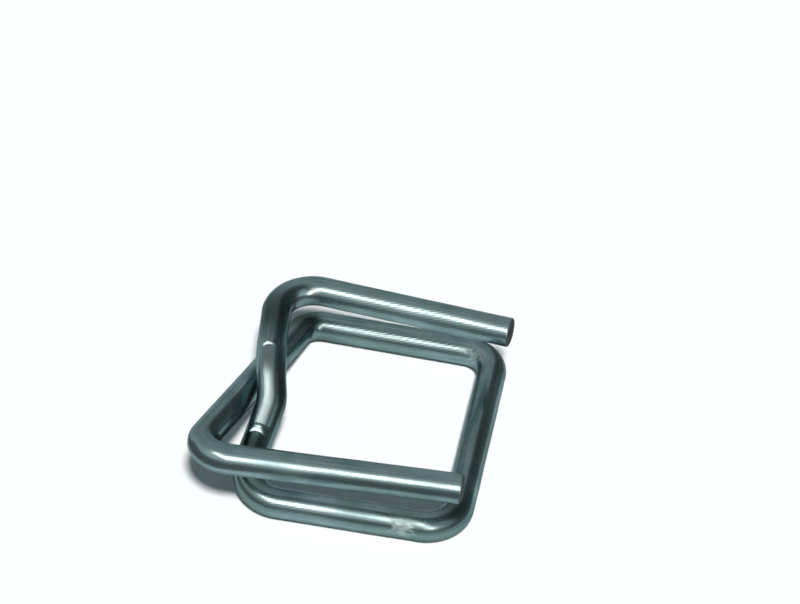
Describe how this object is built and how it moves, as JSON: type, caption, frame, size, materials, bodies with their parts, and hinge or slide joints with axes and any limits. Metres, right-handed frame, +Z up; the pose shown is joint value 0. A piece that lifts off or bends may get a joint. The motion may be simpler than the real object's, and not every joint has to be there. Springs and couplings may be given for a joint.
{
  "type": "strapping buckle",
  "caption": "Bent-wire strapping buckle: a flat closed frame whose arms cross and fold back above the long bars as open tines that grip a looped strap.",
  "frame": {"origin": "centre of the bounding box in plan, on the surface the frame rests on", "axes": "+X along the tines toward the closed bar and the free ends, +Y toward the far long bar, +Z up from the flat frame to the tines"},
  "size_m": [0.0314, 0.0342, 0.0106],
  "materials": {
    "wire": "bright zinc plating on drawn steel wire"
  },
  "bodies": {
    "root": {"wire_buckle": "wire"}
  },
  "joints": []
}
